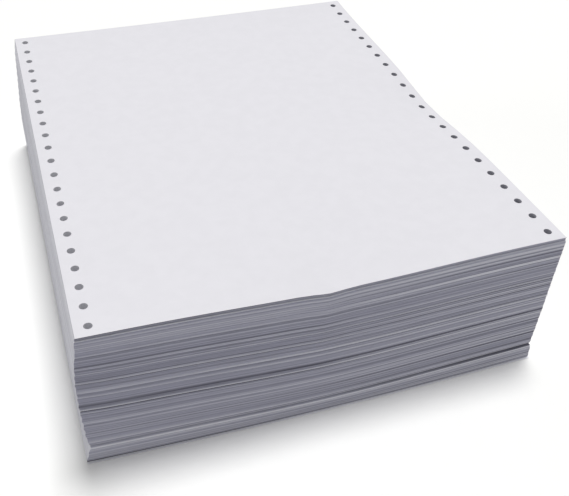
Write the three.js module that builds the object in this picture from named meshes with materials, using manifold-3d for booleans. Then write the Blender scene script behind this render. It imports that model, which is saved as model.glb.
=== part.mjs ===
// Fanfold continuous form paper: one web of blank paper, folded to and fro into a block.
// Millimetres, +Z up. The folds run along X, at the front (-Y) and at the back (+Y).
// The front folds and the back folds take turns up the block, as a zigzag web does, and each
// modelled ridge stands for a handful of leaves. Two rows of sprocket holes run through it.

import * as THREE from "three";
import { mergeVertices } from "three/addons/utils/BufferGeometryUtils.js";
import Module from "manifold-3d";

// One leaf, between two folds.
const form_width = 241.3;
const form_length = 279.4;

// The block of folded leaves.
const stack_height = 86.3;
const fold_pitch = 1.45;
const fold_reach = 0.5;
const fold_spread = 0.35;
const front_fold_at = 0.25;
const back_fold_at = 0.75;

// The sprocket holes, in a row along each long side.
const hole_diameter = 4;
const hole_pitch = 12.7;
const hole_from_side = 6.35;
const hole_from_fold = 6.35;
const hole_sides = 12;
const hole_overrun = 5;

// The lowest bundle of leaves, which lies a little forward, and the dark gap above it.
const bundle_height = 10.5;
const bundle_forward = 1.2;
const gap_depth = 2.4;
const gap_left = 0.4;
const gap_right = 2;
const gap_lip = 0.9;
const gap_growth = 1.4;
const gap_floor_share = 0.1;
const gap_ceiling_share = 0.8;

// The leaf on top, which reaches over the groove under it.
const top_leaf = 0.35;
const top_overhang = 0.35;
const top_groove = 0.5;

// How the leaves lie out of line. Towards the bottom they are turned a little and pushed
// forward in the middle. At the sides, bundles stand out past the leaf on top.
const low_turn = 4.1;
const low_bow = 2.1;
const left_spread = 2.4;
const right_spread = 1.4;
const wander_reach = 0.3;
const wander_height = 19;

// How the top leaf lies: low on the left, and higher where the folds are thickest.
const sag_left = 0.95;
const sag_right = -0.25;
const back_rise = 2.85;
const back_rise_run = 37;
const right_slope = 0.0133;
const front_rise = 3.35;
const front_dip = 3.8;
const front_dip_width = 66;
const front_rise_run = 21.5;

// A dip along each side of the top leaf, near the middle of its length.
const right_dip = 3.95;
const right_dip_forward = 6;
const right_dip_length = 34;
const left_dip = 1.45;
const left_dip_forward = 35;
const left_dip_length = 28;
const side_dip_width = 18;

// Height over which the leaves go from flat on the table to the shape of the top leaf.
const settle_height = 9;

// Where the surface is divided, across the folds and along the leaf.
const across_steps = 8;
const along_stops = [0, 14, 40, 70, 105];
const merge_distance = 1e-3;

/** A steady spread of values from 0 to 1, one for each whole number. */
function spread(index) {
  const wave = Math.sin(index * 12.9898) * 43758.5453;
  return wave - Math.floor(wave);
}

/** A smooth bump of height 1 around 0, with the given half width. */
function bump(distance, half_width) {
  return Math.exp(-((distance / half_width) ** 2));
}

/** Height of the top leaf over the plane of the block's stated height. */
function top_rise(x, y) {
  const share = x / form_width + 0.5;
  const from_back = form_length / 2 - y;
  const from_front = form_length / 2 + y;
  const from_right = form_width / 2 - x;
  const from_left = form_width / 2 + x;
  const middle = sag_left + (sag_right - sag_left) * share;
  const slope = right_slope * share ** 2 * Math.max(y, 0);
  const back = back_rise * Math.exp(-from_back / back_rise_run);
  const front = front_rise * (1 - share) - front_dip * bump(x, front_dip_width);
  const right = right_dip * bump(y + right_dip_forward, right_dip_length);
  const left = left_dip * bump(y + left_dip_forward, left_dip_length);
  return (
    slope +
    back +
    front * Math.exp(-from_front / front_rise_run) -
    right * Math.exp(-from_right / side_dip_width) -
    left * Math.exp(-from_left / side_dip_width) -
    middle
  );
}

/** Opening of the dark gap at one place across the block. */
function gap_opening(x) {
  const share = Math.min(Math.max(x / form_width + 0.5, 0), 1);
  return gap_left + (gap_right - gap_left) * share ** gap_growth;
}

/**
 * Levels of the zigzag from one height to another. At the first level of each pair the fold
 * is at the front and at the second it is at the back.
 */
function fold_levels(from, to, forward) {
  const folds = Math.max(1, Math.round((to - from) / fold_pitch));
  const levels = [];
  for (let fold = 0; fold < folds; fold += 1) {
    const number = levels.length + Math.round(from);
    const reach = fold_reach * (1 - fold_spread + 2 * fold_spread * spread(number));
    const ease = (fold_spread * (spread(number + 0.5) - 0.5)) / 2;
    const low = from + ((to - from) * (fold + front_fold_at + ease)) / folds;
    const high = from + ((to - from) * (fold + back_fold_at + ease)) / folds;
    levels.push({ height: low, front: forward + reach, back: 0 });
    levels.push({ height: high, front: forward, back: reach });
  }
  return levels;
}

/** All levels of the block, from the leaf that lies on the table to the leaf on top. */
function block_levels() {
  const gap_floor = bundle_height;
  const gap_ceiling = bundle_height + gap_right + gap_lip;
  const top_floor = stack_height - top_leaf;
  return [
    { height: 0, front: bundle_forward, back: 0 },
    ...fold_levels(0, gap_floor, bundle_forward),
    { height: gap_floor, front: bundle_forward, back: 0 },
    { height: gap_floor, front: -gap_depth, back: 0, open: gap_floor_share },
    { height: gap_floor, front: -gap_depth, back: 0, open: gap_ceiling_share },
    { height: gap_floor, front: 0, back: 0, open: 1 },
    ...fold_levels(gap_ceiling, top_floor - top_leaf, 0),
    { height: top_floor - top_leaf, front: -top_groove, back: 0 },
    { height: top_floor, front: -top_groove, back: 0 },
    { height: top_floor, front: top_overhang, back: 0 },
    { height: stack_height, front: top_overhang, back: 0 },
  ];
}

/** How far the leaves of one height stand out at the left and at the right side. */
function side_reach(x, height) {
  const up = Math.min(height / stack_height, 1);
  const wander = wander_reach * Math.sin((2 * Math.PI * height) / wander_height);
  const left = left_spread * Math.sqrt(4 * up * (1 - up));
  const right = right_spread * (1 - up);
  const share = x / form_width + 0.5;
  return (right + wander * (1 - up)) * share - (left + wander * (1 - up)) * (1 - share);
}

/** How far the leaves of one height lie forward, at a place across the block. */
function low_forward(x, height) {
  const across = (2 * x) / form_width;
  const down = 1 - Math.min(height / stack_height, 1);
  return (low_turn * (across / 2) + low_bow * (1 - across ** 2)) * down;
}

/** A point of one level, at a place on the leaf. */
function level_point(level, x, y) {
  const lift = level.open ? level.open * gap_opening(x) : 0;
  const height = level.height + lift;
  const settled = 1 - Math.exp(-height / settle_height);
  let along = y - low_forward(x, height);
  if (y <= -form_length / 2) along -= level.front;
  if (y >= form_length / 2) along += level.back;
  return new THREE.Vector3(
    x + side_reach(x, height),
    along,
    height + settled * top_rise(x, y),
  );
}

/** Places across the leaf, from the left side to the right. */
function across_places() {
  const places = [];
  for (let step = 0; step <= across_steps; step += 1) {
    places.push(form_width * (step / across_steps - 0.5));
  }
  return places;
}

/** Places along the leaf, from the front fold to the back, closer together near the folds. */
function along_places() {
  const near_front = along_stops.filter((stop) => stop < form_length / 2);
  const front = near_front.map((stop) => stop - form_length / 2);
  const back = near_front.map((stop) => form_length / 2 - stop).reverse();
  return [...front, 0, ...back];
}

/** The closed surface of the folded block, before the holes. */
function block_geometry() {
  const levels = block_levels();
  const xs = across_places();
  const ys = along_places();
  const corners = [];
  const quad = (a, b, c, d) => corners.push(a, b, c, a, c, d);

  const rim = [];
  for (let i = 0; i < xs.length - 1; i += 1) rim.push([xs[i], ys[0]]);
  for (let j = 0; j < ys.length - 1; j += 1) rim.push([xs.at(-1), ys[j]]);
  for (let i = xs.length - 1; i > 0; i -= 1) rim.push([xs[i], ys.at(-1)]);
  for (let j = ys.length - 1; j > 0; j -= 1) rim.push([xs[0], ys[j]]);

  for (let k = 0; k < levels.length - 1; k += 1) {
    for (let n = 0; n < rim.length; n += 1) {
      const here = rim[n];
      const next = rim[(n + 1) % rim.length];
      quad(
        level_point(levels[k], ...here),
        level_point(levels[k], ...next),
        level_point(levels[k + 1], ...next),
        level_point(levels[k + 1], ...here),
      );
    }
  }

  for (let i = 0; i < xs.length - 1; i += 1) {
    for (let j = 0; j < ys.length - 1; j += 1) {
      const square = [
        [xs[i], ys[j]],
        [xs[i + 1], ys[j]],
        [xs[i + 1], ys[j + 1]],
        [xs[i], ys[j + 1]],
      ];
      quad(...square.map((place) => level_point(levels.at(-1), ...place)));
      quad(...square.map((place) => level_point(levels[0], ...place)).reverse());
    }
  }
  return new THREE.BufferGeometry().setFromPoints(corners);
}

/** A pin that cuts one sprocket hole through the whole block. */
function hole_geometry(x, y) {
  const rise = back_rise + right_slope * form_length + front_rise;
  const length = stack_height + rise + 2 * hole_overrun;
  const pin = new THREE.CylinderGeometry(
    hole_diameter / 2,
    hole_diameter / 2,
    length,
    hole_sides,
  );
  pin.rotateX(Math.PI / 2);
  pin.translate(x, y, length / 2 - hole_overrun);
  return pin;
}

/** Centres of the sprocket holes of both rows. */
function hole_places() {
  const run = form_length - 2 * hole_from_fold;
  const count = Math.floor(run / hole_pitch + 1e-6) + 1;
  const places = [];
  for (const side of [-1, 1]) {
    for (let number = 0; number < count; number += 1) {
      const x = side * (form_width / 2 - hole_from_side);
      places.push([x, form_length / 2 - hole_from_fold - number * hole_pitch]);
    }
  }
  return places;
}

const wasm = await Module();
wasm.setup();

/** A closed surface as a solid that can be cut. */
function solid_of(geometry) {
  const bare = geometry.clone();
  bare.deleteAttribute("normal");
  bare.deleteAttribute("uv");
  const merged = mergeVertices(bare, merge_distance);
  return new wasm.Manifold(
    new wasm.Mesh({
      numProp: 3,
      vertProperties: new Float32Array(merged.getAttribute("position").array),
      triVerts: new Uint32Array(merged.index.array),
    }),
  );
}

/** A cut solid as a surface again. */
function geometry_of(solid) {
  const mesh = solid.getMesh();
  const geometry = new THREE.BufferGeometry();
  geometry.setAttribute("position", new THREE.BufferAttribute(mesh.vertProperties, 3));
  geometry.setIndex(new THREE.BufferAttribute(mesh.triVerts, 1));
  return geometry;
}

let block = solid_of(block_geometry());
for (const place of hole_places()) {
  block = block.subtract(solid_of(hole_geometry(...place)));
}

const paper = new THREE.MeshStandardMaterial({
  color: 0xe8e7ec,
  roughness: 0.92,
  metalness: 0,
});

// The folded web, centred on the box that it fills, with its lowest leaf at Z = 0.
const fanfold_web = new THREE.Mesh(geometry_of(block), paper);
fanfold_web.name = "fanfold_web";
fanfold_web.geometry.computeBoundingBox();
const middle = fanfold_web.geometry.boundingBox.getCenter(new THREE.Vector3());
fanfold_web.geometry.translate(-middle.x, -middle.y, 0);
fanfold_web.geometry.computeVertexNormals();

const fanfold_form = new THREE.Group();
fanfold_form.add(fanfold_web);

export default fanfold_form;
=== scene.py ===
"""Fanfold continuous form paper: the looks of one folded block of blank white paper.

The block is one web, folded to and fro. Here the leaves have folds of their own, apart from
the grooves under the top leaf and over the lowest one. The block has the size and the main
shape of the solid that it stands for, and its gap, its grooves and its front dip are fitted
more closely. Lengths are in millimetres, unless a name says otherwise.
"""

import logging
import math
from dataclasses import dataclass, field
from enum import IntEnum
from typing import Any

import bpy
import numpy as np
from mathutils import Matrix, Vector
from mathutils.geometry import delaunay_2d_cdt


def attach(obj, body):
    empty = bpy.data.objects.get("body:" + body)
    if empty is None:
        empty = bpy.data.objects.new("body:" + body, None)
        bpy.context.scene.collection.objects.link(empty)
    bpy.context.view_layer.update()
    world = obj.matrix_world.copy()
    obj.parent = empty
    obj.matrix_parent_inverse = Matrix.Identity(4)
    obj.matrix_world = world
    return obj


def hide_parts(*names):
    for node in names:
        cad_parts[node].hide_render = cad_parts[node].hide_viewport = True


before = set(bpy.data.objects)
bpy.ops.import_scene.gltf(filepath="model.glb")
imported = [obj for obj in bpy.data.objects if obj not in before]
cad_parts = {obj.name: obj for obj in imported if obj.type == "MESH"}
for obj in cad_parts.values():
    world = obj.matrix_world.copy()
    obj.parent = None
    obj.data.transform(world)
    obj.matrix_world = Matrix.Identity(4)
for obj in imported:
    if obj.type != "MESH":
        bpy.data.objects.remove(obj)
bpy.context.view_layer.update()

Array = np.ndarray
Rgba = tuple[float, float, float, float]

log = logging.getLogger("fanfold")

MM = 0.001
NODE = "fanfold_web"
BODY = "root"
PLACE = "leaf_place"
# Tone of the leaves: partly random, partly painted light and shade at proud folds, in the grooves,
# the gap and the holes.
TONE_AND_PAINTED_LIGHT = "leaf_tone_and_painted_light"
PICTURE_WIDTH_PX = 569
# Distances in millimetres under which two places are taken to be the same.
NEAR_MM = 1e-6
MERGE_MM = 1e-5


class Finish(IntEnum):
    """The finishes of the block, in the order of its material slots."""

    FACE = 0
    FOLDED = 1
    CUT = 2
    PUNCHED = 3


def linear(hex_colour: str) -> Rgba:
    """Turn a written colour into the linear values that a shader takes.

    Args:
        hex_colour: An sRGB colour such as "#e8e7ec".

    Returns:
        Red, green, blue and alpha, linear.
    """
    values = [int(hex_colour[n : n + 2], 16) / 255 for n in (1, 3, 5)]
    lit = [v / 12.92 if v <= 0.04045 else ((v + 0.055) / 1.055) ** 2.4 for v in values]
    return (lit[0], lit[1], lit[2], 1.0)


def add_node(
    tree: bpy.types.NodeTree,
    kind: str,
    settings: dict[str, Any] | None = None,
    inputs: dict[Any, Any] | None = None,
) -> bpy.types.Node:
    """Add a node, with its settings and with what goes into its sockets.

    Args:
        tree: The node tree that gets the node.
        kind: Blender's name of the node type.
        settings: Values of the node's own properties.
        inputs: For each socket's name or number, a value or the socket that feeds it.

    Returns:
        The new node.
    """
    node = tree.nodes.new(kind)
    for name, value in (settings or {}).items():
        setattr(node, name, value)
    for name, value in (inputs or {}).items():
        if isinstance(value, bpy.types.NodeSocket):
            tree.links.new(value, node.inputs[name])
        else:
            node.inputs[name].default_value = value
    return node


def new_material(name: str) -> tuple[bpy.types.Material, bpy.types.NodeTree]:
    """Make an empty node material.

    Args:
        name: The material's name.

    Returns:
        The material and its node tree.
    """
    material = bpy.data.materials.new(name)
    material.use_nodes = True
    material.node_tree.nodes.clear()
    return material, material.node_tree


def close_material(tree: bpy.types.NodeTree, shader: bpy.types.Node) -> None:
    """Join a shader to the material's output.

    Args:
        tree: The material's node tree.
        shader: The node whose first output is the finished shader.
    """
    add_node(tree, "ShaderNodeOutputMaterial", inputs={"Surface": shader.outputs[0]})


def stretched_noise(
    tree: bpy.types.NodeTree,
    grain_mm: tuple[float, float, float],
    detail: float,
    roughness: float = 0.5,
) -> bpy.types.NodeSocket:
    """Noise that follows the leaves, with its own grain size along each direction.

    Args:
        tree: The material's node tree.
        grain_mm: Size of one blotch across the block, along the leaf and up the block.
        detail: How many finer layers the noise has.
        roughness: Weight of the finer layers.

    Returns:
        The socket that gives the noise, from 0 to 1.
    """
    place = add_node(
        tree, "ShaderNodeAttribute", {"attribute_name": PLACE, "attribute_type": "GEOMETRY"}
    )
    scaled = add_node(
        tree,
        "ShaderNodeMapping",
        {"vector_type": "POINT"},
        {"Vector": place.outputs["Vector"], "Scale": tuple(1 / size for size in grain_mm)},
    )
    noise = add_node(
        tree,
        "ShaderNodeTexNoise",
        {"noise_dimensions": "3D"},
        {
            "Vector": scaled.outputs["Vector"],
            "Scale": 1.0,
            "Detail": detail,
            "Roughness": roughness,
        },
    )
    return noise.outputs["Fac"]


def ramp(
    tree: bpy.types.NodeTree, factor: bpy.types.NodeSocket, stops: list[tuple[float, str]]
) -> bpy.types.NodeSocket:
    """Turn a factor into a colour.

    Args:
        tree: The material's node tree.
        factor: The socket with a value from 0 to 1.
        stops: Places from 0 to 1 with the colour written at each.

    Returns:
        The socket that gives the colour.
    """
    node = add_node(tree, "ShaderNodeValToRGB", inputs={"Fac": factor})
    elements = node.color_ramp.elements
    while len(elements) < len(stops):
        elements.new(0.5)
    for element, (at, colour) in zip(elements, stops):
        element.position = at
        element.color = linear(colour)
    return node.outputs["Color"]


def backdrop_rays(tree: bpy.types.NodeTree) -> bpy.types.NodeSocket:
    """Tell the rays that see the white backdrop from those that carry light to the block.

    Args:
        tree: The node tree of the backdrop or of the world.

    Returns:
        The socket that gives 1 for rays of the camera, of gloss and of glass, and 0 for others.
    """
    path = add_node(tree, "ShaderNodeLightPath")
    seen = path.outputs["Is Camera Ray"]
    for ray in ("Is Glossy Ray", "Is Transmission Ray"):
        either = add_node(
            tree, "ShaderNodeMath", {"operation": "MAXIMUM"}, {0: seen, 1: path.outputs[ray]}
        )
        seen = either.outputs[0]
    return seen


@dataclass(frozen=True)
class BondPaperFace:
    """White bond paper, pressed between rolls and uncoated: an even, matte white face.

    The pulp shows as very faint clouds a few millimetres wide, and the fibres as a fine
    tooth that only dulls the light.
    """

    name: str = "bond_paper_face"
    bright: str = "#e8e7ec"
    shade: str = "#e6e5ea"
    cloud_mm: float = 7.0
    # Real fibres are about 0.03 mm wide. They are drawn coarser, so that they show.
    fibre_mm: float = 0.5
    tooth_mm: float = 0.012
    tooth_strength: float = 0.2
    ior: float = 1.47
    roughness: float = 0.88
    specular: float = 0.25

    def build(self) -> bpy.types.Material:
        """Make the material.

        Returns:
            The finished material.
        """
        material, tree = new_material(self.name)
        clouds = stretched_noise(tree, (self.cloud_mm,) * 3, 3)
        colour = ramp(tree, clouds, [(0.35, self.shade), (0.65, self.bright)])
        fibres = stretched_noise(tree, (self.fibre_mm,) * 3, 2)
        tooth = add_node(
            tree,
            "ShaderNodeBump",
            inputs={
                "Strength": self.tooth_strength,
                "Distance": self.tooth_mm * MM,
                "Height": fibres,
            },
        )
        shader = add_node(
            tree,
            "ShaderNodeBsdfPrincipled",
            inputs={
                "Base Color": colour,
                "Roughness": self.roughness,
                "IOR": self.ior,
                "Specular IOR Level": self.specular,
                "Normal": tooth.outputs["Normal"],
            },
        )
        close_material(tree, shader)
        return material


@dataclass(frozen=True)
class LayeredEdge:
    """Edges of many bond paper leaves, folded, cut or punched.

    Their colours are greyer than the paper face: painted shade for the light lost in the
    gaps between the leaves. The leaf tone gives lighter lines where a leaf stands out, as
    painted highlight, and darker ones where it lies back, as painted shade; other lines
    differ at random.
    """

    name: str
    # The four colours, darkest first. The deep and dark ones carry most of the painted shade of
    # the gaps, the grooves and the lines under proud folds; the light one most of the painted
    # highlight.
    deep: str
    dark: str
    plain: str
    light: str
    # A leaf is 0.1 mm thick. The finest lines are drawn six leaves thick, so that they show.
    line_mm: float = 0.6
    run_mm: float = 45.0
    line_share: float = 0.24
    # Tones at which the four colours stand, from 0 to 1.
    stops: tuple[float, float, float, float] = (0.0, 0.15, 0.5, 1.0)
    ior: float = 1.47
    roughness: float = 0.92
    specular: float = 0.2

    def build(self) -> bpy.types.Material:
        """Make the material.

        Returns:
            The finished material.
        """
        material, tree = new_material(self.name)
        tone = add_node(
            tree, "ShaderNodeAttribute", {"attribute_name": TONE_AND_PAINTED_LIGHT, "attribute_type": "GEOMETRY"}
        )
        lines = stretched_noise(tree, (self.run_mm, self.run_mm, self.line_mm), 2)
        swing = add_node(
            tree, "ShaderNodeMath", {"operation": "SUBTRACT"}, {0: lines, 1: 0.5}
        )
        mixed = add_node(
            tree,
            "ShaderNodeMath",
            {"operation": "MULTIPLY_ADD"},
            {0: swing.outputs[0], 1: self.line_share, 2: tone.outputs["Fac"]},
        )
        colours = (self.deep, self.dark, self.plain, self.light)
        colour = ramp(tree, mixed.outputs[0], list(zip(self.stops, colours)))
        shader = add_node(
            tree,
            "ShaderNodeBsdfPrincipled",
            inputs={
                "Base Color": colour,
                "Roughness": self.roughness,
                "IOR": self.ior,
                "Specular IOR Level": self.specular,
            },
        )
        close_material(tree, shader)
        return material


def bump(distance: Array, half_width: float) -> Array:
    """A smooth bump of height 1 around 0, with the given half width."""
    return np.exp(-((distance / half_width) ** 2))


def eased(share: Array) -> Array:
    """Values from 0 to 1, with a soft start and a soft end."""
    return share * share * (3 - 2 * share)


@dataclass
class TopLeafShape:
    """How the top leaf lies, over the plane of the block's nominal height."""

    width: float
    length: float
    # It lies low on the left, and higher where the folds are thickest.
    sag_left: float = 0.95
    sag_right: float = -0.25
    right_slope: float = 0.0133
    back_rise: float = 2.85
    back_rise_run: float = 37.0
    front_rise: float = 3.35
    front_dip: float = 3.5
    front_dip_width: float = 66.0
    front_rise_run: float = 21.5
    # A dip along each side, near the middle of its length.
    right_dip: float = 3.95
    right_dip_forward: float = 6.0
    right_dip_length: float = 34.0
    left_dip: float = 1.45
    left_dip_forward: float = 35.0
    left_dip_length: float = 28.0
    side_dip_width: float = 18.0
    # A crease at the front edge, left of the middle, which fades with depth.
    crease_drop: float = 1.3
    crease_left: float = 6.0
    crease_width: float = 8.0
    crease_places: tuple[int, ...] = (-1, 0, 1, 2)
    crease_fade: float = 2.5
    # Leaves half way down rise at the left and dip at the right, from one height upwards.
    inner_from: float = 8.0
    inner_to: float = 90.0
    inner_run: float = 60.0
    inner_rise_left: float = 1.7
    inner_rise_run: float = 14.0
    inner_dip_right: float = 2.0
    inner_dip_start: float = -0.4
    inner_dip_share: float = 0.75

    def rise(self, x: Array, y: Array) -> Array:
        """Height of the top leaf over the nominal plane.

        Args:
            x: Places across the block.
            y: Places along the leaf.

        Returns:
            The height at each place.
        """
        share = x / self.width + 0.5
        from_back = self.length / 2 - y
        from_front = np.maximum(self.length / 2 + y, 0)
        from_right = np.maximum(self.width / 2 - x, 0)
        from_left = np.maximum(self.width / 2 + x, 0)
        middle = self.sag_left + (self.sag_right - self.sag_left) * share
        slope = self.right_slope * share**2 * np.maximum(y, 0)
        back = self.back_rise * np.exp(-from_back / self.back_rise_run)
        front = self.front_rise * (1 - share)
        front = front - self.front_dip * bump(x, self.front_dip_width)
        right = self.right_dip * bump(y + self.right_dip_forward, self.right_dip_length)
        left = self.left_dip * bump(y + self.left_dip_forward, self.left_dip_length)
        return (
            slope
            + back
            + front * np.exp(-from_front / self.front_rise_run)
            - right * np.exp(-from_right / self.side_dip_width)
            - left * np.exp(-from_left / self.side_dip_width)
            - middle
        )

    def front_sag(self, x: Array, y: Array, up: Array) -> Array:
        """Height that leaves near the front folds have besides that of the top leaf.

        Args:
            x: Places across the block.
            y: Places along the leaf.
            up: Height in the block, from 0 on the table to 1 at the top leaf.

        Returns:
            The added height at each place.
        """
        from_front = np.maximum(self.length / 2 + y, 0)
        crease = self.crease_drop * bump(x + self.crease_left, self.crease_width)
        crease = crease * np.exp(-from_front / self.front_rise_run) * up**self.crease_fade
        start = self.inner_from / self.inner_to
        part = np.clip((up - start) / (1 - start), 0, 1)
        left = self.inner_rise_left * np.exp(-(self.width / 2 + x) / self.inner_rise_run)
        share = (x / self.width - self.inner_dip_start) / self.inner_dip_share
        right = self.inner_dip_right * eased(np.clip(share, 0, 1))
        inner = 4 * part * (1 - part) * np.exp(-from_front / self.inner_run)
        return inner * (left - right) - crease


@dataclass
class LeafDrift:
    """How the leaves under the top one lie out of line with it.

    Each profile gives how far the leaves stand out at some heights over the table.
    """

    width: float
    length: float
    height: float
    # Towards the table they are turned a little, and pushed forward in the middle.
    low_turn: float = 4.1
    low_bow: float = 2.1
    heights: tuple[float, ...] = (0.0, 2.2, 9.0, 11.0, 14.0, 23.0, 38.0, 55.0, 68.0, 76.0, 84.0)
    left_front: tuple[float, ...] = (2.3, 1.9, 0.0, 0.1, 0.9, 1.5, 2.3, 2.6, 1.9, 0.9, 0.7)
    left_back: tuple[float, ...] = (3.2, 3.3, 3.4, 3.5, 3.6, 3.7, 3.3, 2.3, 1.7, 1.3, 0.4)
    right: tuple[float, ...] = (2.2, 2.0, 1.3, 1.2, 1.4, 1.5, 1.4, 1.0, 0.8, 0.7, 0.6)
    back_share: float = 0.6
    # Bundles stand out in turn, and less so at the right.
    wobble: float = 0.25
    wobble_height: float = 5.3
    wobble_right: float = 0.6

    def sideways(self, x: Array, y: Array, z: Array) -> Array:
        """How far leaves stand out sideways.

        Args:
            x: Places across the block.
            y: Places along the leaf.
            z: Heights over the table.

        Returns:
            The move along x at each place.
        """
        heights = (*self.heights, self.height)
        front = np.interp(z, heights, (*self.left_front, 0.0))
        back = np.interp(z, heights, (*self.left_back, 0.0))
        to_back = np.clip(y / self.length + 0.5, 0, 1) ** self.back_share
        low = 1 - np.clip(z / self.height, 0, 1)
        wobble = self.wobble * np.sin(2 * np.pi * z / self.wobble_height) * np.sqrt(low)
        left = front + (back - front) * to_back + wobble
        right = np.interp(z, heights, (*self.right, 0.0)) + wobble * self.wobble_right
        share = x / self.width + 0.5
        return right * share - left * (1 - share)

    def forward(self, x: Array, z: Array) -> Array:
        """How far leaves lie forward.

        Args:
            x: Places across the block.
            z: Heights over the table.

        Returns:
            The move towards the front at each place.
        """
        across = 2 * x / self.width
        down = 1 - np.clip(z / self.height, 0, 1)
        return (self.low_turn * across / 2 + self.low_bow * (1 - across**2)) * down


@dataclass(frozen=True)
class ProudFold:
    """A few folds that stand out together, with a painted highlight on them and a line of painted
    shade beneath them, for the shade that they throw.

    Heights are over the table. The strengths at the left, middle and right of the block say
    how much of it shows there. The thickness and the reach are in millimetres.
    """

    height: float
    left: float
    middle: float
    right: float
    thick: float = 0.55
    reach: float = 0.3
    shade_below: float = 1.0


FRONT_FOLDS = (
    ProudFold(84.1, 1.0, 1.0, 1.1, 0.9, 0.1, 0.0),
    ProudFold(79.2, 0.4, 0.3, 0.3),
    ProudFold(77.0, 0.1, 0.35, 0.7, 0.7),
    ProudFold(73.2, 0.3, 0.2, 0.1),
    ProudFold(70.9, 0.1, 0.3, 0.5),
    ProudFold(64.8, 0.4, 0.5, 0.8),
    ProudFold(61.4, 0.9, 1.1, 1.3),
    ProudFold(57.3, 0.4, 0.2, 0.1),
    ProudFold(55.3, 1.0, 1.2, 1.3),
    ProudFold(51.8, 0.2, 0.2, 0.2),
    ProudFold(48.7, 0.4, 0.9, 1.7, 0.7),
    ProudFold(45.2, 0.7, 0.7, 0.7),
    ProudFold(41.0, 0.3, 0.3, 0.3),
    ProudFold(36.2, 1.7, 1.5, 1.1, 0.7),
    ProudFold(33.6, 0.7, 0.1, 0.0),
    ProudFold(28.5, 0.3, 0.3, 0.5),
    ProudFold(21.5, 0.2, 0.3, 0.4),
    ProudFold(19.0, 0.1, 0.3, 0.6),
    ProudFold(16.0, 0.6, 0.1, 0.0),
    ProudFold(12.0, 0.4, 0.7, 1.0, 1.6, 0.2, 0.0),
    ProudFold(9.1, 0.8, 1.7, 1.0, 0.9, 0.1, 0.0),
)


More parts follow.
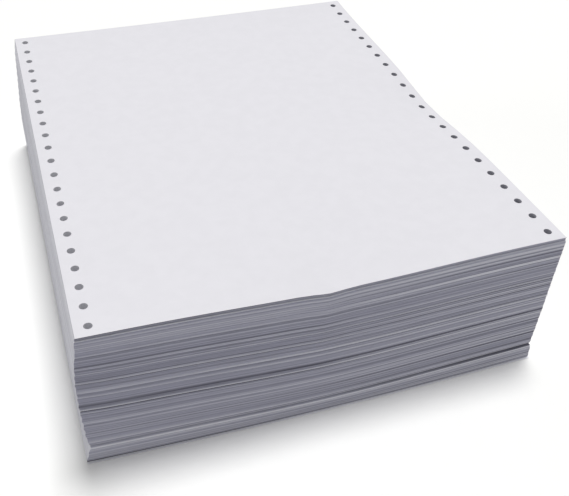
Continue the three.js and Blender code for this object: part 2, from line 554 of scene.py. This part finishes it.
@dataclass
class StreakField:
    """Light and dark lines of the folded faces, and how far their leaves stand out. The lines are
    partly random and partly painted: highlight on proud folds, shade under them, and light towards
    the right.

    Both are tables with a row for each leaf and a column for each place across the block.
    """

    heights: Array
    columns: int
    seed: int
    folds: tuple[ProudFold, ...] = ()
    # Thickness of the lines in leaves, with their tone and their reach in millimetres.
    bands: tuple[tuple[float, float, float], ...] = (
        (4, 0.24, 0.0),
        (7, 0.12, 0.01),
        (22, 0.02, 0.02),
    )
    fewest_knots: int = 4
    # How much a band changes across the block, and how far its second swing turns there.
    band_change: float = 0.45
    band_turn: float = 3.0
    # How strong the bands are at the left and at the right.
    band_strengths: tuple[float, float] = (0.6, 1.6)
    middle_tone: float = 0.5
    # Painted light: the folded faces are lighter towards the right, where more light falls.
    painted_light_right: float = 0.07
    fine_reach: float = 0.04
    # Proud folds get a painted highlight, and the line of shade under each is painted: its drop in
    # fold thicknesses.
    proud_painted_light: float = 0.5
    painted_shade_tone: float = 0.3
    shade_drop: float = 1.35
    shade_reach: float = 0.5
    # Single loose folds: their number, heights, half widths and the plateau of each.
    loose_folds: int = 50
    loose_heights: tuple[float, float] = (3.0, 84.0)
    loose_halves: tuple[float, float] = (0.15, 0.6)
    loose_plateau: float = 1.4
    loose_thick: float = 0.3
    loose_reach: float = 0.1
    loose_tone: float = 0.15
    # Slow swings of the tone, at some heights over the table.
    slow_heights: tuple[float, ...] = (4, 9, 14, 29, 34, 39, 44, 49, 59, 69, 74, 79, 84)
    slow_tones: tuple[float, ...] = (
        0.08, 0.13, 0.0, 0.02, -0.07, -0.1, -0.03, 0.0, -0.05, 0.0, 0.02, 0.11, 0.12
    )

    def band(self, rng: np.random.Generator, leaves_each: float) -> Array:
        """Random values, smooth up the block and nearly even across it.

        Args:
            rng: The source of random values.
            leaves_each: Height of one swing, in leaves.

        Returns:
            A table of values from about -1 to 1.
        """
        leaves = len(self.heights)
        knots = max(self.fewest_knots, round(leaves / leaves_each))
        at = np.linspace(0, leaves - 1, knots)
        rows = np.arange(leaves)
        ends = [np.interp(rows, at, rng.uniform(-1, 1, knots)) for _ in range(3)]
        share = np.linspace(0, 1, self.columns)[None]
        swing = ends[1][:, None] * np.cos(np.pi * share)
        swing = swing + ends[2][:, None] * np.cos(self.band_turn * share)
        return ends[0][:, None] + self.band_change * swing

    def build(self) -> tuple[Array, Array]:
        """Make both tables.

        Returns:
            The tone, from 0 for the darkest to 1 for the lightest, and the reach.
        """
        rng = np.random.default_rng(self.seed)
        leaves = len(self.heights)
        share = np.linspace(0, 1, self.columns)
        slow = np.interp(self.heights, self.slow_heights, self.slow_tones)
        # The tone rises towards the right: painted light.
        tone = self.middle_tone + slow[:, None] + self.painted_light_right * share[None]
        fine = rng.uniform(-1, 1, (leaves, 1)) * self.fine_reach
        reach = np.repeat(fine, self.columns, axis=1)
        strength = np.interp(share, (0, 1), self.band_strengths)
        for leaves_each, band_tone, band_reach in self.bands:
            values = self.band(rng, leaves_each) * strength
            tone += values * band_tone
            reach += values * band_reach
        for _ in range(self.loose_folds):
            height, size = rng.uniform(*self.loose_heights), rng.uniform(-1, 1)
            centre, half = rng.uniform(0, 1), rng.uniform(*self.loose_halves)
            away = np.abs(share - centre) / half
            across = np.clip(self.loose_plateau - away, 0, 1) * size
            up = bump(self.heights - height, self.loose_thick)[:, None]
            tone += up * across * self.loose_tone
            reach += up * across * self.loose_reach
        for fold in self.folds:
            across = np.interp(share, (0, 0.5, 1), (fold.left, fold.middle, fold.right))
            above = self.heights - fold.height
            up = bump(above, fold.thick / 2)[:, None]
            below = bump(above + fold.thick * self.shade_drop, fold.thick / 2)[:, None]
            # Painted highlight on each proud fold and painted shade under it; the reach moves the
            # leaves themselves.
            tone += up * across * self.proud_painted_light
            tone -= below * across * self.painted_shade_tone * fold.shade_below
            reach += up * across * fold.reach
            reach -= below * across * fold.reach * self.shade_reach * fold.shade_below
        return np.clip(tone, 0, 1), reach


@dataclass(frozen=True)
class LeafRow:
    """One row of the surface, once round the block.

    Args:
        z: Its height in a block with no sag.
        front: How far it stands out at the front, at the left and at the right.
        back: How far it stands out at the back.
        opening: How much of the dark gap lies under it, from 0 to 1.
        uneven: Whether single leaves stand out here.
        tone: How much lighter or darker it is than the leaves round it, from -1 to 1, at
            the left and at the right.
    """

    z: float
    front: tuple[float, float]
    back: float
    opening: float = 0.0
    uneven: bool = False
    tone: tuple[float, float] = (0.0, 0.0)


@dataclass
class FoldedWeb:
    """The whole web of paper, folded to and fro into a block, in millimetres."""

    width: float = 241.3
    length: float = 279.4
    height: float = 86.3
    leaf: float = 0.1
    fold_depth: float = 0.12
    # The lowest bundle of leaves, which lies a little forward, and the dark gap above it,
    # which opens towards the right. The shares say how much of the opening lies under each
    # row of the gap. The gap's tones are painted shade, darker towards the right.
    bundle_height: float = 9.6
    bundle_forward: float = 1.2
    gap_depth: float = 2.4
    gap_left: float = 0.1
    gap_right: float = 1.0
    gap_end: float = 0.3
    gap_end_bend: int = 16
    gap_shares: tuple[float, float, float, float] = (0.0, 0.05, 0.95, 0.98)
    gap_painted_shade: tuple[float, float] = (-0.2, -0.8)
    gap_settle: float = 6.0
    # The leaf on top, drawn three leaves thick so that it shows, and the groove under it. The
    # groove and the top leaf's edge are painted in shade.
    top_leaf: float = 0.3
    top_overhang: float = 0.1
    top_groove: float = 0.45
    top_groove_height: float = 1.7
    top_groove_painted_shade: float = -0.55
    # The leaf on the table, drawn as thick, and the groove over it. Where the leaf stands out it
    # is painted light, and the groove is painted in shade.
    low_leaf: float = 0.3
    low_leaf_reach: float = 1.2
    low_leaf_painted_light: float = 0.8
    low_painted_light_end: float = 0.15
    low_grooves: tuple[float, float] = (0.7, 0.1)
    low_groove_height: float = 0.5
    low_groove_painted_shade: tuple[float, float] = (-0.6, -0.15)
    # Height over which the leaves go from flat on the table to the shape of the top leaf.
    settle_height: float = 9.0
    side_jitter: float = 0.06
    # The sprocket holes. The faces near them keep clear by a share of their radius.
    hole_diameter: float = 4.0
    hole_pitch: float = 12.7
    hole_from_side: float = 6.35
    hole_from_fold: float = 6.35
    hole_sides: int = 24
    hole_levels: int = 10
    hole_clearance: float = 1.4
    hole_inside: float = 0.98
    # The hole walls are painted darker towards the right: painted shade.
    hole_painted_shade_right: float = 0.5
    # Where the surface is divided, across the folds and along the leaf.
    across_places: int = 23
    along_steps: int = 18
    along_crowding: float = 0.35
    slope_step: float = 0.5
    seed: int = 3
    shape: TopLeafShape = field(init=False)
    drift: LeafDrift = field(init=False)
    # How far the block is moved to centre it on the solid that it stands for.
    shift: Array = field(init=False)

    def __post_init__(self) -> None:
        """Give the shapes that follow from the leaf their sizes."""
        self.shape = TopLeafShape(self.width, self.length)
        self.drift = LeafDrift(self.width, self.length, self.height)
        self.shift = np.zeros(3)

    def across(self) -> Array:
        """Places across the block, closer together near the crease of the top leaf.

        Returns:
            The places, from the left side to the right.
        """
        even = np.linspace(-self.width / 2, self.width / 2, self.across_places)
        beside = self.shape.crease_width * np.array(self.shape.crease_places)
        crease = beside - self.shape.crease_left
        return np.unique(np.round(np.concatenate([even, crease]), 3))

    def along(self) -> Array:
        """Places along the leaf, closer together near both folds.

        Returns:
            The places, from the front fold to the back fold.
        """
        even = np.linspace(-1, 1, self.along_steps + 1)
        crowded = self.along_crowding * np.sin(even * np.pi / 2)
        return self.length / 2 * ((1 - self.along_crowding) * even + crowded)

    def hole_places(self) -> list[tuple[float, float]]:
        """Where the sprocket holes of both rows are.

        Returns:
            The centre of each hole, row by row.
        """
        run = self.length - 2 * self.hole_from_fold
        count = math.floor((run + NEAR_MM) / self.hole_pitch) + 1
        places = []
        for side in (-1, 1):
            for number in range(count):
                x = side * (self.width / 2 - self.hole_from_side)
                y = self.length / 2 - self.hole_from_fold - number * self.hole_pitch
                places.append((x, y))
        return places

    def placed(self, x: Array, y: Array, z: Array, lift: Array) -> Array:
        """Points of the leaves, from their places in a block with no sag and no drift.

        Args:
            x: Places across.
            y: Places along the leaf.
            z: Heights.
            lift: How far the dark gap lifts each point.

        Returns:
            One row of x, y and z for each point.
        """
        height = z + lift
        settled = 1 - np.exp(-height / self.settle_height)
        within = np.clip(x, -self.width / 2, self.width / 2)
        sag = self.shape.front_sag(within, y, np.clip(height / self.height, 0, 1))
        return np.stack(
            [
                x + self.drift.sideways(x, y, height),
                y - self.drift.forward(x, height),
                height + settled * self.shape.rise(within, y) + sag,
            ],
            axis=-1,
        )

    def levels(self) -> list[LeafRow]:
        """Stack the rows of the surface.

        Returns:
            The rows, from the table to the top leaf.
        """
        forward, floor = self.bundle_forward, self.bundle_height
        flush, out = (forward, forward), (forward + self.low_leaf_reach,) * 2
        inside = tuple(forward - depth for depth in self.low_grooves)
        low = self.low_leaf + self.low_groove_height
        # The lowest leaf is painted light where it stands out, and the groove over it painted
        # shade.
        light, groove = (self.low_leaf_painted_light,) * 2, self.low_groove_painted_shade
        rows = [
            LeafRow(0.0, out, 0.0, tone=light),
            LeafRow(self.low_leaf, out, 0.0, tone=light),
            LeafRow(self.low_leaf, (forward + self.low_painted_light_end,) * 2, 0.0, tone=light),
            LeafRow(self.low_leaf, flush, 0.0, tone=groove),
            LeafRow(self.low_leaf, inside, 0.0, tone=groove),
            LeafRow(low, inside, 0.0, tone=groove),
        ]
        leaves = round((floor - low) / self.leaf)
        for leaf in range(leaves + 1):
            z = low + (floor - low) * leaf / leaves
            out = self.fold_depth * (leaf % 2)
            front = (forward + out, forward + out)
            rows.append(LeafRow(z, front, self.fold_depth - out, uneven=leaf < leaves))
        deep, lip = (-self.gap_depth, -self.gap_end), (forward - self.fold_depth,) * 2
        # The rows of the gap get painted shade.
        for front, share in zip((lip, deep, deep, (0.0, 0.0)), self.gap_shares):
            rows.append(LeafRow(floor, front, 0.0, share, tone=self.gap_painted_shade))
        top = self.height - self.top_leaf
        high = top - self.top_groove_height
        leaves = round((high - floor) / self.leaf)
        for leaf in range(leaves + 1):
            z = floor + (high - floor) * leaf / leaves
            out = self.fold_depth * ((leaf + 1) % 2)
            lift = math.exp(-(z - floor) / self.gap_settle)
            rows.append(LeafRow(z, (out, out), self.fold_depth - out, lift, leaf < leaves))
        # The groove under the top leaf and the top leaf's edge get painted shade.
        for z, out in (
            (high, -self.top_groove),
            (top, -self.top_groove),
            (top, self.top_overhang),
            (self.height, self.top_overhang),
        ):
            rows.append(LeafRow(z, (out, out), 0.0, tone=(self.top_groove_painted_shade,) * 2))
        return rows

    def gap_opening(self, x: Array) -> Array:
        """Opening of the dark gap at places across the block."""
        share = np.clip(x / self.width + 0.5, 0, 1)
        return self.gap_left + (self.gap_right - self.gap_left) * share

    def rim(self) -> tuple[Array, Array, Array, Array]:
        """The outline of one leaf, once round from the front left corner.

        Returns:
            x and y of each point, its column in the streak table, and the finish of the
            face that starts there.
        """
        xs, ys = self.across(), self.along()
        column = np.arange(len(xs))
        right = np.full(len(ys) - 1, len(xs) - 1)
        left = np.zeros(len(ys) - 1, int)
        x = np.concatenate([xs[:-1], np.full(len(ys) - 1, xs[-1]), xs[:0:-1]])
        x = np.concatenate([x, np.full(len(ys) - 1, xs[0])])
        y = np.concatenate([np.full(len(xs) - 1, ys[0]), ys[:-1]])
        y = np.concatenate([y, np.full(len(xs) - 1, ys[-1]), ys[:0:-1]])
        columns = np.concatenate([column[:-1], right, column[:0:-1], left])
        folded, cut = [int(Finish.FOLDED)], [int(Finish.CUT)]
        finish = folded * (len(xs) - 1) + cut * (len(ys) - 1)
        return x, y, columns, np.array(finish * 2)

    def side_walls(self) -> tuple[Array, Array, Array, list[tuple[int, ...]], list[int]]:
        """The four faces of the block, leaf by leaf.

        Returns:
            Points, their places in the leaves, their tones, faces and each face's finish.
        """
        x, y, columns, finish = self.rim()
        rows = self.levels()
        count = len(x)
        z = np.array([row.z for row in rows])
        opened = np.array([row.opening for row in rows])[:, None]
        uneven = np.array([row.uneven for row in rows])[:, None]
        share = np.clip(x / self.width + 0.5, 0, 1)[None]
        ends = np.array([row.front for row in rows])
        # The gap is shallow only at its right end, so that its painted shade runs to the corner.
        bend = np.where(opened > 0, share**self.gap_end_bend, share)
        front = ends[:, :1] * (1 - bend) + ends[:, 1:] * bend
        back = np.array([row.back for row in rows])[:, None]
        across = len(self.across())
        tone, streaks = StreakField(z, across, self.seed, FRONT_FOLDS).build()
        tone_behind, behind = StreakField(z, across, self.seed + 1).build()
        at_front, at_back = (y <= y.min() + NEAR_MM)[None], (y >= y.max() - NEAR_MM)[None]
        along = y[None] - np.where(at_front, front + streaks[:, columns] * uneven, 0)
        along = along + np.where(at_back, back + behind[:, columns] * uneven, 0)
        rng = np.random.default_rng(self.seed + 2)
        jitter = rng.uniform(-1, 1, (len(rows), 2)) * self.side_jitter * uneven
        at_left, at_right = (x <= x.min() + NEAR_MM)[None], (x >= x.max() - NEAR_MM)[None]
        side = x[None] + np.where(at_right, jitter[:, :1], 0) - np.where(at_left, jitter[:, 1:], 0)
        flat_z = np.repeat(z[:, None], count, axis=1)
        points = self.placed(side, along, flat_z, opened * self.gap_opening(x)[None])
        tones = np.where(at_back, tone_behind[:, columns], tone[:, columns])
        added = np.array([row.tone for row in rows])
        tones = np.clip(tones + added[:, :1] * (1 - share) + added[:, 1:] * share, 0, 1)
        faces, kinds = [], []
        for row in range(len(rows) - 1):
            low, high = row * count, (row + 1) * count
            for n in range(count):
                m = (n + 1) % count
                faces.append((low + n, low + m, high + m, high + n))
                kinds.append(int(finish[n]))
        places = np.stack([side, along, flat_z], axis=-1).reshape(-1, 3)
        return points.reshape(-1, 3), places, tones.ravel(), faces, kinds

    def punched_leaf(self, outline: Array) -> tuple[Array, list[tuple[int, ...]], list[list[int]]]:
        """One leaf seen from above, divided into triangles round its sprocket holes.

        Args:
            outline: The points of its edge, once round.

        Returns:
            The places of its points, edge first and then hole by hole, its triangles, and
            for each point of the edge and the holes its number among them.
        """
        radius = self.hole_diameter / 2
        turns = np.arange(self.hole_sides) * 2 * np.pi / self.hole_sides
        circle = np.stack([np.cos(turns), np.sin(turns)], axis=1) * radius
        holes = [circle + np.array(place) for place in self.hole_places()]
        centres = np.array(self.hole_places())
        xs, ys = self.across()[1:-1], self.along()[1:-1]
        inner = np.stack(np.meshgrid(xs, ys), axis=-1).reshape(-1, 2)
        gaps = np.linalg.norm(inner[:, None] - centres[None], axis=2).min(axis=1)
        inner = inner[gaps > radius * self.hole_clearance]
        points = np.concatenate([outline, *holes, inner])
        loops = [len(outline)] + [self.hole_sides] * len(holes)
        edges, start = [], 0
        for size in loops:
            edges += [(start + n, start + (n + 1) % size) for n in range(size)]
            start += size
        made = delaunay_2d_cdt([Vector(p) for p in points], edges, [], 0, MERGE_MM)
        corners = np.array([tuple(p) for p in made[0]])
        number = [0] * len(points)
        for new, olds in enumerate(made[3]):
            for old in olds:
                number[old] = new
        triangles = []
        for face in made[2]:
            middle = corners[list(face)].mean(axis=0)
            if np.linalg.norm(centres - middle, axis=1).min() >= radius * self.hole_inside:
                triangles.append(tuple(face))
        return corners, triangles, [number[: len(outline)], number[len(outline) : start]]

    def build(self) -> bpy.types.Object:
        """Make the closed mesh of the block, centred on the solid that it stands for.

        Returns:
            The new object, in metres.
        """
        points, places, tones, faces, kinds = self.side_walls()
        count = len(self.rim()[0])
        chunks, tags = [points], [places]
        total = len(points)
        rims: list[list[int]] = []
        for top in (False, True):
            first = len(points) - count if top else 0
            outline = points[first : first + count, :2]
            corners, triangles, numbers = self.punched_leaf(outline)
            if top:
                within = np.clip(corners[:, 0], -self.width / 2, self.width / 2)
                height = self.top_height(within, corners[:, 1])
            else:
                height = np.zeros(len(corners))
            onto = {numbers[0][n]: first + n for n in range(count)}
            fresh = [n for n in range(len(corners)) if n not in onto]
            for n in fresh:
                onto[n] = total
                total += 1
            chunks.append(np.column_stack([corners[fresh], height[fresh]]))
            level = self.height if top else 0.0
            tags.append(np.column_stack([corners[fresh], np.full(len(fresh), level)]))
            for face in triangles:
                turned = face if top else face[::-1]
                faces.append(tuple(onto[n] for n in turned))
                kinds.append(int(Finish.FACE))
            rims.append([onto[n] for n in numbers[1]])
        total = self.hole_walls(chunks, tags, faces, kinds, rims, total)
        everything = np.concatenate(chunks)
        # The hole walls are painted lighter at the left and darker at the right: painted light and
        # shade for the light that falls in at the left and reaches further down the holes there.
        share = np.clip(everything[len(tones) :, 0] / self.width + 0.5, 0, 1)
        tones = np.concatenate([tones, 1 - self.hole_painted_shade_right * share])
        return self.mesh_of(everything, np.concatenate(tags), tones, faces, kinds)

    def hole_walls(
        self,
        chunks: list[Array],
        tags: list[Array],
        faces: list[tuple[int, ...]],
        kinds: list[int],
        rims: list[list[int]],
        total: int,
    ) -> int:
        """Add the walls of the sprocket holes, from the top leaf down through the block.

        Args:
            chunks: Points so far, to which the walls' points are added.
            tags: Their places in the leaves.
            faces: Faces so far.
            kinds: The finish of each face.
            rims: Points of the hole edges on the lowest leaf and on the top leaf.
            total: How many points there are so far.

        Returns:
            How many points there are afterwards.
        """
        everything = np.concatenate(chunks)
        low, high = everything[rims[0]], everything[rims[1]]
        size, sides = len(rims[0]), self.hole_sides
        rows = [rims[0]]
        shares = np.linspace(0, 1, self.hole_levels + 2)[1:-1]
        for share in shares:
            chunks.append(low * (1 - share) + high * share)
            tags.append(chunks[-1].copy())
            rows.append(list(range(total, total + size)))
            total += size
        rows.append(rims[1])
        for lower, upper in zip(rows, rows[1:]):
            for start in range(0, size, sides):
                for n in range(sides):
                    a, b = start + n, start + (n + 1) % sides
                    faces.append((lower[b], lower[a], upper[a], upper[b]))
                    kinds.append(int(Finish.PUNCHED))
        return total

    def mesh_of(
        self,
        points: Array,
        places: Array,
        tones: Array,
        faces: list[tuple[int, ...]],
        kinds: list[int],
    ) -> bpy.types.Object:
        """Write the points and faces as a Blender object.

        Args:
            points: Points in millimetres.
            places: The place of each point in the leaves.
            tones: How light each point's leaf is painted, from 0 to 1: random tone with painted
                light and shade.
            faces: The points of each face.
            kinds: The finish of each face.

        Returns:
            The new object.
        """
        middle = (points.min(axis=0) + points.max(axis=0)) / 2
        self.shift = np.array([-middle[0], -middle[1], 0.0])
        mesh = bpy.data.meshes.new("folded_web")
        mesh.from_pydata(((points + self.shift) * MM).tolist(), [], faces)
        mesh.attributes.new(PLACE, "FLOAT_VECTOR", "POINT")
        mesh.attributes[PLACE].data.foreach_set("vector", places.astype(np.float32).ravel())
        mesh.attributes.new(TONE_AND_PAINTED_LIGHT, "FLOAT", "POINT")
        mesh.attributes[TONE_AND_PAINTED_LIGHT].data.foreach_set("value", tones.astype(np.float32))
        mesh.polygons.foreach_set("material_index", kinds)
        mesh.update()
        mesh.validate()
        self.smooth_top(mesh, points)
        block = bpy.data.objects.new("folded_web", mesh)
        bpy.context.scene.collection.objects.link(block)
        return block

    def smooth_top(self, mesh: bpy.types.Mesh, points: Array) -> None:
        """Shade the top leaf by its true slope, and every other face as flat.

        Args:
            mesh: The mesh of the block.
            points: Its points, in millimetres and not yet centred.
        """
        count = len(mesh.polygons)
        mesh.polygons.foreach_set("use_smooth", [True] * count)
        flat = np.zeros(count * 3)
        mesh.polygons.foreach_get("normal", flat)
        sizes, kinds = np.zeros(count, int), np.zeros(count, int)
        mesh.polygons.foreach_get("loop_total", sizes)
        mesh.polygons.foreach_get("material_index", kinds)
        corners = np.zeros(len(mesh.loops), int)
        mesh.loops.foreach_get("vertex_index", corners)
        normals = np.repeat(flat.reshape(-1, 3), sizes, axis=0)
        on_top = np.repeat((kinds == Finish.FACE) & (flat.reshape(-1, 3)[:, 2] > 0), sizes)
        x, y = points[corners[on_top], 0], points[corners[on_top], 1]
        step = self.slope_step
        slope_x = (self.top_height(x + step, y) - self.top_height(x - step, y)) / (2 * step)
        slope_y = (self.top_height(x, y + step) - self.top_height(x, y - step)) / (2 * step)
        normals[on_top] = np.stack([-slope_x, -slope_y, np.ones(len(x))], axis=1)
        normals /= np.linalg.norm(normals, axis=1, keepdims=True)
        mesh.normals_split_custom_set(normals.tolist())

    def top_height(self, x: Array, y: Array) -> Array:
        """Height of the top leaf at places on it."""
        height = self.height + self.shape.rise(x, y)
        return height + self.shape.front_sag(x, y, np.ones(len(x)))

    def dress(self, block: bpy.types.Object) -> None:
        """Give the block its finishes, in the order of Finish.

        Args:
            block: The object made by build.
        """
        finishes = [
            BondPaperFace(),
            # The greys of the edges are painted shade for the light lost between the leaves.
            LayeredEdge("folded_paper_edge", "#585864", "#9595a2", "#c8c8d6", "#fafaff"),
            LayeredEdge("cut_paper_edge", "#c4c4ca", "#d2d2d8", "#dfdfe5", "#ececf1"),
            LayeredEdge("punched_paper_edge", "#a0a0a8", "#b4b4bc", "#d0d0d8", "#f8f8fc"),
        ]
        for finish in finishes:
            block.data.materials.append(finish.build())


@dataclass
class Studio:
    """A plain pale floor, soft light and the camera of the photograph."""

    floor_size_m: float = 8.0
    floor_drop_m: float = 0.00005
    # The floor that the camera sees, and the one that sends light back to the block.
    floor_matte: str = "#fffffd"
    floor_glow: float = 0.03
    floor_bounce: str = "#e0e0e2"
    backdrop_white: str = "#ffffff"
    sky_strength: float = 0.28
    # The soft lamp overhead gives about two thirds of the light on the top leaf.
    key_strength: float = 2.15
    key_spread_deg: float = 17.0
    key_azimuth_deg: float = 38.0
    key_height_deg: float = 79.0
    side_strength: float = 0.67
    side_spread_deg: float = 40.0
    side_azimuth_deg: float = -82.0
    side_height_deg: float = 7.0
    # The camera, as fitted to the hole centres and the outline in the photograph.
    focal_px: float = 756.7
    centre_shift_px: tuple[float, float] = (-50.1, -60.1)
    eye_mm: tuple[float, float, float] = (-129.2, -355.4, 328.3)
    look_azimuth_deg: float = 19.2
    look_down_deg: float = 37.51
    roll_deg: float = 2.32
    clip_m: tuple[float, float] = (0.02, 40.0)

    def floor(self) -> None:
        """Lay the floor, which looks white to the camera and keeps the block's shadow."""
        half = self.floor_size_m / 2
        corners = [(-half, -half), (half, -half), (half, half), (-half, half)]
        mesh = bpy.data.meshes.new("studio_floor")
        mesh.from_pydata([(x, y, -self.floor_drop_m) for x, y in corners], [], [(0, 1, 2, 3)])
        floor = bpy.data.objects.new("studio_floor", mesh)
        bpy.context.scene.collection.objects.link(floor)
        material, tree = new_material("white_studio_floor")
        glow = add_node(
            tree,
            "ShaderNodeEmission",
            inputs={"Color": linear(self.backdrop_white), "Strength": self.floor_glow},
        )
        matte = add_node(
            tree, "ShaderNodeBsdfDiffuse", inputs={"Color": linear(self.floor_matte)}
        )
        seen = add_node(
            tree, "ShaderNodeAddShader", inputs={0: glow.outputs[0], 1: matte.outputs[0]}
        )
        bounce = add_node(
            tree, "ShaderNodeBsdfDiffuse", inputs={"Color": linear(self.floor_bounce)}
        )
        by_ray = add_node(
            tree,
            "ShaderNodeMixShader",
            inputs={
                "Fac": backdrop_rays(tree),
                1: bounce.outputs[0],
                2: seen.outputs[0],
            },
        )
        close_material(tree, by_ray)
        floor.data.materials.append(material)

    def sky(self) -> None:
        """Light the scene softly from all round, with a white backdrop for the camera."""
        world = bpy.data.worlds.new("studio_sky")
        world.use_nodes = True
        tree = world.node_tree
        tree.nodes.clear()
        colour = linear(self.backdrop_white)
        light = add_node(
            tree, "ShaderNodeBackground", inputs={"Color": colour, "Strength": self.sky_strength}
        )
        seen = add_node(tree, "ShaderNodeBackground", inputs={"Color": colour, "Strength": 1.0})
        by_ray = add_node(
            tree,
            "ShaderNodeMixShader",
            inputs={
                "Fac": backdrop_rays(tree),
                1: light.outputs[0],
                2: seen.outputs[0],
            },
        )
        add_node(tree, "ShaderNodeOutputWorld", inputs={"Surface": by_ray.outputs[0]})
        bpy.context.scene.world = world

    def lamp(self, name: str, strength: float, spread: float, azimuth: float, lift: float) -> None:
        """Hang a far lamp.

        Args:
            name: The lamp's name.
            strength: Its strength.
            spread: The angle that it fills in the sky, in degrees.
            azimuth: Its direction seen from above, in degrees from +Y towards +X.
            lift: Its height over the horizon, in degrees.
        """
        sun = bpy.data.lights.new(name, "SUN")
        sun.energy = strength
        sun.angle = math.radians(spread)
        lamp = bpy.data.objects.new(name, sun)
        turn, up = math.radians(azimuth), math.radians(lift)
        towards = Vector(
            (math.sin(turn) * math.cos(up), math.cos(turn) * math.cos(up), math.sin(up))
        )
        lamp.rotation_mode = "QUATERNION"
        lamp.rotation_quaternion = towards.to_track_quat("Z", "Y")
        bpy.context.scene.collection.objects.link(lamp)

    def camera(self, shift_mm: Array) -> None:
        """Place the camera as it stood for the photograph.

        Args:
            shift_mm: How far the block was moved to centre it.
        """
        data = bpy.data.cameras.new("photo_camera")
        data.sensor_fit = "HORIZONTAL"
        data.lens = self.focal_px / PICTURE_WIDTH_PX * data.sensor_width
        data.shift_x = -self.centre_shift_px[0] / PICTURE_WIDTH_PX
        data.shift_y = self.centre_shift_px[1] / PICTURE_WIDTH_PX
        data.clip_start, data.clip_end = self.clip_m
        camera = bpy.data.objects.new("photo_camera", data)
        turn, down = math.radians(self.look_azimuth_deg), math.radians(self.look_down_deg)
        ahead = Vector(
            (math.sin(turn) * math.cos(down), math.cos(turn) * math.cos(down), -math.sin(down))
        )
        level = Vector((math.cos(turn), -math.sin(turn), 0))
        above = level.cross(ahead)
        roll = math.radians(self.roll_deg)
        right = level * math.cos(roll) + above * math.sin(roll)
        top = right.cross(ahead)
        axes = Matrix((right, top, -ahead)).transposed()
        camera.matrix_world = Matrix.Translation(
            (Vector(self.eye_mm) + Vector(shift_mm)) * MM
        ) @ axes.to_4x4()
        bpy.context.scene.collection.objects.link(camera)
        bpy.context.scene.camera = camera

    def build(self, shift_mm: Array) -> None:
        """Set up the floor, the light and the camera.

        Args:
            shift_mm: How far the block was moved to centre it.
        """
        self.floor()
        self.sky()
        self.lamp(
            "overhead_lamp",
            self.key_strength,
            self.key_spread_deg,
            self.key_azimuth_deg,
            self.key_height_deg,
        )
        self.lamp(
            "side_lamp",
            self.side_strength,
            self.side_spread_deg,
            self.side_azimuth_deg,
            self.side_height_deg,
        )
        self.camera(shift_mm)
        bpy.context.scene.view_settings.view_transform = "Standard"


def main() -> None:
    """Build the block, dress it and set up the studio."""
    logging.basicConfig(level=logging.INFO)
    web = FoldedWeb()
    block = web.build()
    web.dress(block)
    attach(block, BODY)
    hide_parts(NODE)
    log.info("%s: %d faces", block.name, len(block.data.polygons))
    Studio().build(web.shift)
    log.info("camera and studio are in place")


if __name__ == "__main__":
    main()
